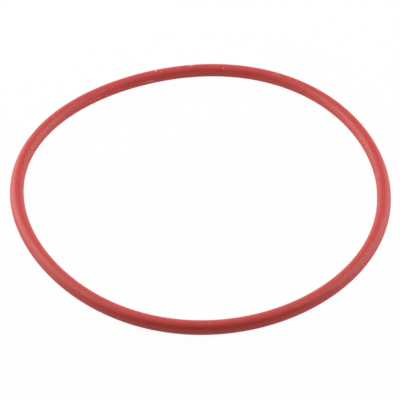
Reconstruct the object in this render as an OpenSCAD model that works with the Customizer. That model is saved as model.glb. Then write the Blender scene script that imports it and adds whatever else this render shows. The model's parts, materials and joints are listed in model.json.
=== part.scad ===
// Silicone o-ring, moulded in one piece between two mould halves.
// The origin is the ring's centre, on the parting plane. +Z is the ring's axis.
// It lies flat, with nothing pressing on it.

/* [Ring] */
// Inside diameter, across the opening between the round sections
inside_d = 91.67; // [20:0.01:250]
// Diameter of the round section
section_d = 3.53; // [1.5:0.01:8]

/* [Parting line] */
// Thickness along Z of the trimmed flash, at its tip
flash_t = 0.14; // [0.05:0.01:0.3]
// How far the trimmed flash stands proud of the round section
flash_proud = 0.07; // [0.02:0.01:0.15]
// Slope of the flash's upper and lower flanks, from the parting plane
flash_slope = 30; // [10:1:35]

/* [Hidden] */
$fn = 180;

section_r = section_d / 2;
// Radius from the ring's axis to the middle of the section
centre_r = inside_d / 2 + section_r;
// The flash runs through the section as one web, thickest at its middle
flash_reach = section_r + flash_proud;
flash_mid_half = flash_t / 2 + flash_reach * tan(flash_slope);

// The web that shows as trimmed flash where it leaves the round section
module flash_web() {
    polygon([
        [flash_reach, -flash_t / 2],
        [flash_reach, flash_t / 2],
        [0, flash_mid_half],
        [-flash_reach, flash_t / 2],
        [-flash_reach, -flash_t / 2],
        [0, -flash_mid_half]
    ]);
}

// The moulded section, around its own middle
module section() {
    circle(r = section_r);
    flash_web();
}

module o_ring() {
    color([0.76, 0.25, 0.22])
        rotate_extrude()
            translate([centre_r, 0])
                section();
}

o_ring();
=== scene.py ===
# A moulded silicone o-ring lying flat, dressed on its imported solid.
import bpy
import json
import math
from mathutils import Matrix, Vector, noise


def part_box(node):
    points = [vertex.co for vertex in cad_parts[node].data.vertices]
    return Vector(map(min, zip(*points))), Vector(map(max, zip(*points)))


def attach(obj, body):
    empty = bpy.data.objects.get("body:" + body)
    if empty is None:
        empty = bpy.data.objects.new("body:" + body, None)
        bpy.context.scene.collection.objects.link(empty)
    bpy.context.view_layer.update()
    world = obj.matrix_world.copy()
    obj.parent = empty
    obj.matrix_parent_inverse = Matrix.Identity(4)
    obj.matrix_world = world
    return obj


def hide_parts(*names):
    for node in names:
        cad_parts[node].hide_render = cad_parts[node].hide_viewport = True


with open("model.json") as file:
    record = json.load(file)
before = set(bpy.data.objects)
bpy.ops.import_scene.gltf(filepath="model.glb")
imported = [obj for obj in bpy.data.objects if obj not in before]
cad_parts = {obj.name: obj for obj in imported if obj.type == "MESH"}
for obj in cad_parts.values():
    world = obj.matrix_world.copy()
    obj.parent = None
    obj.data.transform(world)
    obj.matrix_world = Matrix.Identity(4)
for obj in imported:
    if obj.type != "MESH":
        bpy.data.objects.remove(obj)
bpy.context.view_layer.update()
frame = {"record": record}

MM = 0.001
TAU = 2 * math.pi
UP = Vector((0, 0, 1))

# Sizes of the ring, from the frame
NODE = "o_ring"
low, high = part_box(NODE)
seats = {mount["name"]: mount["dims"] for mount in frame["record"]["mounts"]}
SECTION_R = (high.z - low.z) / 2
INNER_R = seats["inner_seat"]["r_mm"] * MM
OUTER_R = seats["outer_seat"]["r_mm"] * MM
CENTRE_R = (INNER_R + OUTER_R) / 2
FLASH_PROUD = (OUTER_R - INNER_R) / 2 - SECTION_R
FLASH_TIP_HALF = seats["inner_seat"]["length_mm"] * MM / 2
# How much thicker the flash is where it leaves the round section
FLASH_FLARE = 1.6
FLASH_ROOT_HALF = FLASH_FLARE * FLASH_TIP_HALF

# The soft ring rests a little out of round: (waves round it, share of its radius, degrees of a crest)
REST_WAVES = ((3, 0.0124, 47.2), (4, 0.0071, -18.6))

# Flash left by trimming: its share of the solid's flash, and how much that wanders round the ring
FLASH_SHARE = 0.3
FLASH_WANDER = 0.5
FLASH_WANDER_RATE = 6
# Inner stretches where more was left: (degrees round the ring, half its length in degrees, added share)
INNER_FLASH_LEFT = ((108, 7, 0.9), (130, 7, 0.7))

# Fineness of the mesh: steps round the ring, and points on each half of the section between its flashes
STEPS_ROUND = 720
ARC_STEPS = 25

# Silicone, in linear colour, and how uneven its shade, its roughness and its surface (in mm) are
SILICONE = (0.615, 0.0585, 0.0495, 1)
SILICONE_ROUGHNESS = 0.44
SILICONE_IOR = 1.5
MOTTLE_SHADE = 0.02
MOTTLE_HEIGHT = 0.002
STREAK_SHADE = 0.015
STREAK_ROUGHNESS = 0.02
STREAK_HEIGHT = 0.002
# How fine the streaks are, round the section and along the ring
STREAKS_ACROSS = 14.0
STREAKS_ALONG = 3.0
STREAK_DETAIL = 2.0
# Blotches of shade and grains of the surface: how many to a mm, and their detail
BLOTCHES = (0.8, 3.0)
GRAINS = (5.0, 2.0)
# The values that a noise mostly lies between
NOISE_LOW = 0.3
NOISE_HIGH = 0.7

# Dust and grime, and a painted highlight where the flash's tip catches the light
DUST = (0.9, 0.82, 0.84, 1)
DUST_ROUGHNESS = 0.85
DUST_HEIGHT = 0.02
GRIME = (0.16, 0.07, 0.07, 1)
# Painted highlight: the colour of the flash's tip where it catches the light
PAINTED_FLASH_HIGHLIGHT = (0.9, 0.3, 0.26, 1)
# Dust that settled at random: grains per mm, share of them that is kept, largest radius, soft edge
# and strength. The radius and the edge are shares of the space between grains.
RANDOM_SPREAD = 0.45
RANDOM_KEPT = 0.38
RANDOM_RADIUS = 0.055
RANDOM_EDGE = 0.02
RANDOM_STRENGTH = 0.3
# It lies on what faces up: the normal's Z where it begins and where it is full
DUST_BEGINS = -0.1
DUST_FULL = 0.3
# A speck fades between these shares of its radius, and a painted highlight line outside this share of its
# area
SPECK_CORE = 0.5
SPECK_END = 1.3
LINE_CORE = 0.2

# Specks on the ring: (degrees round the ring, degrees round the section, radius in mm, strength)
PALE_SPECKS = (
    (105.7, 84, 0.24, 1.0),
    (94.0, 92, 0.12, 0.7),
    (93.7, 88, 0.12, 0.8),
    (93.4, 84, 0.13, 0.8),
    (93.1, 79, 0.14, 0.9),
    (92.8, 74, 0.14, 0.9),
    (92.5, 69, 0.13, 0.9),
    (104, 105, 0.10, 0.5),
    (102, 95, 0.10, 0.4),
    (100, 99, 0.10, 0.4),
    (98, 96, 0.12, 0.4),
    (111, 138, 0.11, 0.4),
    (87, 147, 0.09, 0.3),
    (82.2, 121, 0.15, 0.8),
    (63.8, 96, 0.15, 0.8),
    (62.8, 100, 0.14, 0.7),
    (123, 134, 0.11, 0.4),
    (126, 131, 0.09, 0.3),
    (130, 143, 0.10, 0.3),
    (128, 172, 0.12, 0.4),
    (144, 80, 0.11, 0.3),
    (153, 100, 0.12, 0.4),
    (152, 137, 0.12, 0.4),
    (172, 110, 0.10, 0.3),
    (174, 157, 0.12, 0.3),
    (178, 96, 0.10, 0.3),
    (178, 126, 0.10, 0.3),
    (194.7, 60, 0.18, 0.5),
    (209.8, 61, 0.20, 0.15),
    (214, 87, 0.14, 0.2),
    (3, 152, 0.12, 0.3),
    (358, 70, 0.12, 0.3),
    (354, 72, 0.16, 0.4),
    (272, 74, 0.7, 0.03),
    (269, 80, 0.7, 0.02),
    (273.2, 70, 0.5, 0.02),
    (275, 90, 0.7, 0.02),
)
DARK_SPECKS = (
    (202.5, 72, 0.24, 0.6),
)
# Painted highlights where the flash's tip catches the light: (degrees round the ring, degrees round the
# section, half lengths of both, strength)
PAINTED_HIGHLIGHT_LINES = (
    (108.6, 178, 2.3, 7, 0.7),
    (111.5, 176, 2.0, 5, 0.35),
    (131, 166, 4.5, 5, 0.3),
)


def direction(azimuth, elevation):
    """The unit vector at that many degrees round from +X and above the floor."""
    a, e = math.radians(azimuth), math.radians(elevation)
    return Vector((math.cos(e) * math.cos(a), math.cos(e) * math.sin(a), math.sin(e)))


def add_object(name, data):
    made = bpy.data.objects.new(name, data)
    bpy.context.collection.objects.link(made)
    return made


# Shape of the ring

def wavy_point(turn):
    """A point of the resting centre line, before it is fitted to the solid's box."""
    radius = CENTRE_R
    for waves, share, crest in REST_WAVES:
        radius += CENTRE_R * share * math.cos(waves * (turn - math.radians(crest)))
    return Vector((radius * math.cos(turn), radius * math.sin(turn), 0))


def box_middle_and_fit():
    """The move and the scale that make the resting centre line fill the solid's own box."""
    points = [wavy_point(TAU * step / STEPS_ROUND) for step in range(STEPS_ROUND)]
    least = Vector((min(p.x for p in points), min(p.y for p in points), 0))
    most = Vector((max(p.x for p in points), max(p.y for p in points), 0))
    widest = max(most.x - least.x, most.y - least.y)
    return (least + most) / 2, 2 * CENTRE_R / widest


REST_MIDDLE, REST_FIT = box_middle_and_fit()


def centre_point(turn):
    return (wavy_point(turn) - REST_MIDDLE) * REST_FIT


def outward(turn):
    """The level direction away from the ring's opening, square to the centre line."""
    step = TAU / STEPS_ROUND
    along = (centre_point(turn + step) - centre_point(turn - step)).normalized()
    return along.cross(UP)


def surface_point(turn, angle, reach=SECTION_R):
    """The point at an angle round the section, where 0 is the outer side and 90 degrees the top."""
    spoke = outward(turn) * math.cos(angle) + UP * math.sin(angle)
    return centre_point(turn) + spoke * reach


def flash_height(turn, side):
    """How far the trimmed flash stands proud, on the inner side (-1) or the outer side (1)."""
    place = Vector((math.cos(turn), math.sin(turn), side)) * FLASH_WANDER_RATE
    share = FLASH_SHARE + FLASH_WANDER * noise.noise(place)
    if side < 0:
        for middle, half, added in INNER_FLASH_LEFT:
            away = math.degrees(math.remainder(turn - math.radians(middle), TAU)) / half
            share += added * max(0, 1 - away * away)
    return FLASH_PROUD * min(1, max(0, share))


def section_stops():
    """(angle, share of the flash's height) of each point round the section."""
    root = math.asin(FLASH_ROOT_HALF / SECTION_R)
    tip = math.asin(FLASH_TIP_HALF / SECTION_R)
    rise = [(-root, 0), (-(root + tip) / 2, 0.5), (-tip, 1), (-tip / 2, 1), (0, 1)]
    ridge = rise + [(-angle, share) for angle, share in reversed(rise[:-1])]
    span = math.pi - 2 * root
    stops = []
    for side_angle in (0, math.pi):
        stops += [(side_angle + angle, share) for angle, share in ridge]
        stops += [(side_angle + root + span * k / (ARC_STEPS + 1), 0) for k in range(1, ARC_STEPS + 1)]
    return stops


def ring_mesh():
    """The section swept round the centre line as one closed mesh, with u round it and v round the section."""
    stops = section_stops()
    count = len(stops)
    verts = []
    for step in range(STEPS_ROUND):
        turn = TAU * step / STEPS_ROUND
        proud = {side: flash_height(turn, side) for side in (-1, 1)}
        for angle, share in stops:
            side = 1 if math.cos(angle) > 0 else -1
            verts.append(surface_point(turn, angle, SECTION_R + share * proud[side]))
    faces, corners = [], []
    for step in range(STEPS_ROUND):
        here = step * count
        there = (step + 1) % STEPS_ROUND * count
        for k in range(count):
            n = (k + 1) % count
            faces.append((here + k, there + k, there + n, here + n))
            low_v = stops[k][0] / TAU
            high_v = stops[n][0] / TAU + (n == 0)
            low_u = step / STEPS_ROUND
            high_u = (step + 1) / STEPS_ROUND
            corners += [(low_u, low_v), (high_u, low_v), (high_u, high_v), (low_u, high_v)]
    mesh = bpy.data.meshes.new("silicone_ring")
    mesh.from_pydata(verts, [], faces)
    layer = mesh.uv_layers.new(name="round_ring")
    for loop, corner in zip(layer.data, corners):
        loop.uv = corner
    mesh.shade_smooth()
    return mesh


# Materials

class Tree:
    """Adds nodes to a material or world, with their settings and what feeds them."""

    def __init__(self, owner):
        owner.use_nodes = True
        self.nodes = owner.node_tree.nodes
        self.links = owner.node_tree.links
        self.nodes.clear()

    def add(self, kind, settings=None, **feeds):
        """feeds gives each socket, by name or by number as _0, a value or the socket that feeds it."""
        node = self.nodes.new(kind)
        for name, value in (settings or {}).items():
            setattr(node, name, value)
        for name, value in feeds.items():
            key = int(name[1:]) if name[0] == "_" else name.replace("_", " ")
            if isinstance(value, bpy.types.NodeSocket):
                self.links.new(value, node.inputs[key])
            else:
                node.inputs[key].default_value = value
        return node

    def math(self, operation, *values):
        feeds = {f"_{k}": value for k, value in enumerate(values)}
        return self.add("ShaderNodeMath", {"operation": operation}, **feeds).outputs[0]

    def ramp(self, value, start, end, low=0.0, high=1.0):
        """Smoothly from low to high as value goes from start to end."""
        return self.add(
            "ShaderNodeMapRange", {"interpolation_type": "SMOOTHSTEP"},
            Value=value, From_Min=start, From_Max=end, To_Min=low, To_Max=high,
        ).outputs["Result"]

    def mix_colour(self, share, first, second, blend="MIX"):
        settings = {"data_type": "RGBA", "blend_type": blend}
        return self.add("ShaderNodeMix", settings, _0=share, _6=first, _7=second).outputs[2]


def speck_mask(tree, place_mm, specks):
    """How much the specks cover: each one's strength in its middle, and 0 away from them."""
    mask = 0.0
    for turn, angle, radius, strength in specks:
        middle = surface_point(math.radians(turn), math.radians(angle)) / MM
        away = tree.add("ShaderNodeVectorMath", {"operation": "DISTANCE"}, _0=place_mm, _1=middle)
        spot = tree.ramp(away.outputs["Value"], radius * SPECK_CORE, radius * SPECK_END, strength, 0)
        mask = tree.math("MAXIMUM", mask, spot)
    return mask


def line_mask(tree, turn, angle, lines):
    """How much the lines cover: each one's strength in its middle, and 0 away from them."""
    mask = 0.0
    for middle_turn, middle_angle, half_turn, half_angle, strength in lines:
        along = tree.math("SUBTRACT", turn, math.radians(middle_turn))
        across = tree.math("SUBTRACT", angle, math.radians(middle_angle))
        along = tree.math("POWER", tree.math("DIVIDE", along, math.radians(half_turn)), 2.0)
        across = tree.math("POWER", tree.math("DIVIDE", across, math.radians(half_angle)), 2.0)
        spot = tree.ramp(tree.math("ADD", along, across), LINE_CORE, 1.0, strength, 0)
        mask = tree.math("MAXIMUM", mask, spot)
    return mask


def random_dust(tree, place_mm):
    """Grains that settled at random, on upper sides only."""
    cells = tree.add("ShaderNodeTexVoronoi", Vector=place_mm, Scale=RANDOM_SPREAD).outputs
    chance = tree.add("ShaderNodeSeparateXYZ", _0=cells["Color"]).outputs
    grain = tree.math("MULTIPLY", chance["Y"], RANDOM_RADIUS)
    spot = tree.ramp(tree.math("SUBTRACT", cells["Distance"], grain), 0.0, RANDOM_EDGE, 1, 0)
    kept = tree.math("LESS_THAN", chance["X"], RANDOM_KEPT)
    normal = tree.add("ShaderNodeNewGeometry").outputs["Normal"]
    upward = tree.add("ShaderNodeSeparateXYZ", _0=normal).outputs["Z"]
    strength = tree.ramp(upward, DUST_BEGINS, DUST_FULL, 0, RANDOM_STRENGTH)
    return tree.math("MULTIPLY", tree.math("MULTIPLY", spot, kept), strength)


def silicone_material():
    """Satin moulded silicone with faint tool streaks round the ring, mottling, settled dust and a painted
    highlight on the flash's tip.
    """
    material = bpy.data.materials.new("silicone")
    tree = Tree(material)
    place = tree.add("ShaderNodeTexCoord").outputs["Object"]
    place_mm = tree.add("ShaderNodeVectorMath", {"operation": "SCALE"}, _0=place, Scale=1 / MM).outputs[0]

    def mottle(scale, detail):
        return tree.add("ShaderNodeTexNoise", Vector=place_mm, Scale=scale, Detail=detail).outputs["Fac"]

    def circle(radius, value):
        return [tree.math("MULTIPLY", tree.math(wave, value), radius) for wave in ("COSINE", "SINE")]

    def spread(noise_value, least, most):
        return tree.ramp(noise_value, NOISE_LOW, NOISE_HIGH, least, most)

    # Streaks that follow the ring, from the turned faces of the mould
    uv = tree.add("ShaderNodeUVMap", {"uv_map": "round_ring"}).outputs[0]
    parts = tree.add("ShaderNodeSeparateXYZ", _0=uv).outputs
    turn = tree.math("MULTIPLY", parts["X"], TAU)
    angle = tree.math("MULTIPLY", parts["Y"], TAU)
    across = circle(STREAKS_ACROSS, angle)
    along = circle(STREAKS_ALONG, turn)
    lay = tree.add("ShaderNodeCombineXYZ", X=across[0], Y=across[1], Z=along[0]).outputs[0]
    streaks = tree.add(
        "ShaderNodeTexNoise", {"noise_dimensions": "4D"},
        Vector=lay, W=along[1], Scale=1.0, Detail=STREAK_DETAIL,
    ).outputs["Fac"]

    dust = tree.math("MAXIMUM", random_dust(tree, place_mm), speck_mask(tree, place_mm, PALE_SPECKS))
    grime = speck_mask(tree, place_mm, DARK_SPECKS)
    # Painted highlight: lines where the flash's tip catches the light
    painted_highlight = line_mask(tree, turn, angle, PAINTED_HIGHLIGHT_LINES)

    blotches = spread(mottle(*BLOTCHES), 1 - MOTTLE_SHADE, 1 + MOTTLE_SHADE)
    shade = tree.math("ADD", blotches, spread(streaks, -STREAK_SHADE, STREAK_SHADE))
    grey = tree.add("ShaderNodeCombineXYZ", X=shade, Y=shade, Z=shade).outputs[0]
    colour = tree.mix_colour(1.0, SILICONE, grey, "MULTIPLY")
    # The painted highlight of the flash's tip goes into the colour
    colour = tree.mix_colour(painted_highlight, colour, PAINTED_FLASH_HIGHLIGHT)
    colour = tree.mix_colour(grime, colour, GRIME)
    colour = tree.mix_colour(dust, colour, DUST)

    satin = tree.math("ADD", spread(streaks, -STREAK_ROUGHNESS, STREAK_ROUGHNESS), SILICONE_ROUGHNESS)
    roughness = tree.math("MAXIMUM", satin, tree.math("MULTIPLY", dust, DUST_ROUGHNESS))

    grain = tree.math("MULTIPLY", mottle(*GRAINS), MOTTLE_HEIGHT)
    height = tree.math("ADD", grain, tree.math("MULTIPLY", streaks, STREAK_HEIGHT))
    height = tree.math("ADD", height, tree.math("MULTIPLY", dust, DUST_HEIGHT))
    bump = tree.add("ShaderNodeBump", Strength=1.0, Distance=MM, Height=height).outputs[0]

    shader = tree.add(
        "ShaderNodeBsdfPrincipled", Base_Color=colour, Roughness=roughness, IOR=SILICONE_IOR, Normal=bump,
    )
    tree.add("ShaderNodeOutputMaterial", Surface=shader.outputs[0])
    return material


ring = add_object("silicone_ring", ring_mesh())
ring.data.materials.append(silicone_material())
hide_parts(NODE)
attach(ring, "root")

# Studio: (name, metres away, degrees round from +X, degrees up, degrees wide, degrees tall, brightness)
LAMPS = (
    ("left_softbox", 0.8, 178, 28, 30, 56, 2.0),
    ("left_back", 0.38, 148, 29, 30, 58, 3.2),
    ("right_softbox", 0.8, 2, 28, 30, 56, 2.1),
    ("right_back", 0.38, 32, 29, 30, 58, 1.95),
    ("back_left_fill", 0.38, 118, 24, 30, 46, 0.45),
    ("back_fill", 0.38, 90, 24, 26, 46, 0.45),
    ("back_right_fill", 0.38, 62, 24, 30, 46, 0.2),
    ("left_top", 0.38, 155, 66, 50, 18, 0.85),
    ("right_top", 0.38, 25, 66, 50, 18, 1.15),
)


def softbox(name, distance, azimuth, elevation, wide, tall, brightness):
    """A flat lamp that faces the ring. Its power follows from its brightness and its area."""
    lamp = bpy.data.lights.new(name, "AREA")
    lamp.shape = "RECTANGLE"
    lamp.size = 2 * distance * math.tan(math.radians(wide / 2))
    lamp.size_y = 2 * distance * math.tan(math.radians(tall / 2))
    lamp.energy = brightness * math.pi * lamp.size * lamp.size_y
    holder = add_object(name, lamp)
    holder.location = direction(azimuth, elevation) * distance
    holder.rotation_euler = (-holder.location).to_track_quat("-Z", "Y").to_euler()


for settings in LAMPS:
    softbox(*settings)


def background_rays(tree, mirrored=1.0):
    """How far a ray sees the plain white background, with mirrored as the share in a reflection."""
    rays = tree.add("ShaderNodeLightPath").outputs
    direct = tree.math("MAXIMUM", rays["Is Camera Ray"], rays["Is Transmission Ray"])
    return tree.math("MAXIMUM", direct, tree.math("MULTIPLY", rays["Is Glossy Ray"], mirrored))


# The floor is pale paper, seen mostly by a white of its own, with the ring's faint shadow on it
FLOOR_SPREAD = 3.0
PAPER = 0.86
WHITE_SHARE = 0.97
# As a source of soft light its paper is painted darker in front, a painted shade for a table's side away from
# the lamps, and goes from dark to pale between these two places on Y
FRONT_PAINTED_SHADE = 0.15
FRONT_EDGE = -0.08
FRONT_END = -0.058
# How near the ring a reflection sees the white in its shadow
SHADE_REACH = 0.004
SHADE_SAMPLES = 4


def floor_material():
    material = bpy.data.materials.new("studio_floor")
    tree = Tree(material)
    place = tree.add("ShaderNodeSeparateXYZ", _0=tree.add("ShaderNodeTexCoord").outputs["Object"])
    shade = tree.add("ShaderNodeAmbientOcclusion", {"samples": SHADE_SAMPLES}, Distance=SHADE_REACH)
    background = background_rays(tree, shade.outputs["AO"])
    # Painted shade: the paper that bounces light is darker in front
    pale = tree.ramp(place.outputs["Y"], FRONT_EDGE, FRONT_END, FRONT_PAINTED_SHADE, PAPER)
    seen = tree.math("MAXIMUM", pale, tree.math("MULTIPLY", background, PAPER))
    grey = tree.add("ShaderNodeCombineXYZ", X=seen, Y=seen, Z=seen).outputs[0]
    paper = tree.add("ShaderNodeBsdfDiffuse", Color=grey).outputs[0]
    white = tree.add("ShaderNodeEmission", Strength=1.0).outputs[0]
    share = tree.math("MULTIPLY", background, WHITE_SHARE)
    mixed = tree.add("ShaderNodeMixShader", _0=share, _1=paper, _2=white).outputs[0]
    tree.add("ShaderNodeOutputMaterial", Surface=mixed)
    return material


def floor_mesh():
    corners = [(x * FLOOR_SPREAD, y * FLOOR_SPREAD, 0) for x, y in ((-1, -1), (1, -1), (1, 1), (-1, 1))]
    mesh = bpy.data.meshes.new("floor")
    mesh.from_pydata(corners, [], [(0, 1, 2, 3)])
    mesh.materials.append(floor_material())
    return mesh


floor = add_object("floor", floor_mesh())
floor.location.z = low.z

# Dim walls and a ceiling that is a little paler light the ring faintly
WALL_LIGHT = 0.05
CEILING_LIGHT = 0.08
WALL_TOP = 0.6
# The background shows plain white low down: where that begins to fade and where it ends
WHITE_END = 0.15
WHITE_FADED = 0.3


def studio_world():
    world = bpy.data.worlds.new("studio")
    tree = Tree(world)
    ray = tree.add("ShaderNodeTexCoord").outputs["Generated"]
    height = tree.add("ShaderNodeSeparateXYZ", _0=ray).outputs["Z"]
    wall = tree.ramp(height, 0.0, WALL_TOP, WALL_LIGHT, CEILING_LIGHT)
    white = tree.math("MULTIPLY", background_rays(tree), tree.ramp(height, WHITE_END, WHITE_FADED, 1, 0))
    strength = tree.math("MAXIMUM", wall, white)
    light = tree.add("ShaderNodeBackground", Color=(1, 1, 1, 1), Strength=strength).outputs[0]
    tree.add("ShaderNodeOutputWorld", Surface=light)
    return world


bpy.context.scene.world = studio_world()

# Camera: where it stands, in degrees and in ring radii, how it is aimed, in degrees, and its lens,
# with the picture's side and the focal length in pixels and the sensor in mm
VIEW_ELEVATION = 44.08
VIEW_DISTANCE = 8.07
AIM_RIGHT = -0.073
AIM_UP = -0.518
ROLL = -0.515
FRAME_PX = 400
FOCAL_PX = 1475.0
SENSOR = 36.0


def photo_camera():
    data = bpy.data.cameras.new("camera")
    data.sensor_width = SENSOR
    data.lens = SENSOR * FOCAL_PX / FRAME_PX
    camera = add_object("camera", data)
    away = direction(-90, VIEW_ELEVATION)
    camera.location = (away * VIEW_DISTANCE * CENTRE_R - REST_MIDDLE) * REST_FIT
    level = Matrix((Vector((1, 0, 0)), away.cross(Vector((1, 0, 0))), away)).transposed()
    tilt = Matrix.Rotation(math.radians(AIM_UP), 3, "X")
    swing = Matrix.Rotation(math.radians(-AIM_RIGHT), 3, "Y")
    turn = Matrix.Rotation(math.radians(ROLL), 3, "Z")
    camera.rotation_euler = (level @ tilt @ swing @ turn).to_euler()
    return camera


bpy.context.scene.camera = photo_camera()
bpy.context.scene.view_settings.view_transform = "Standard"
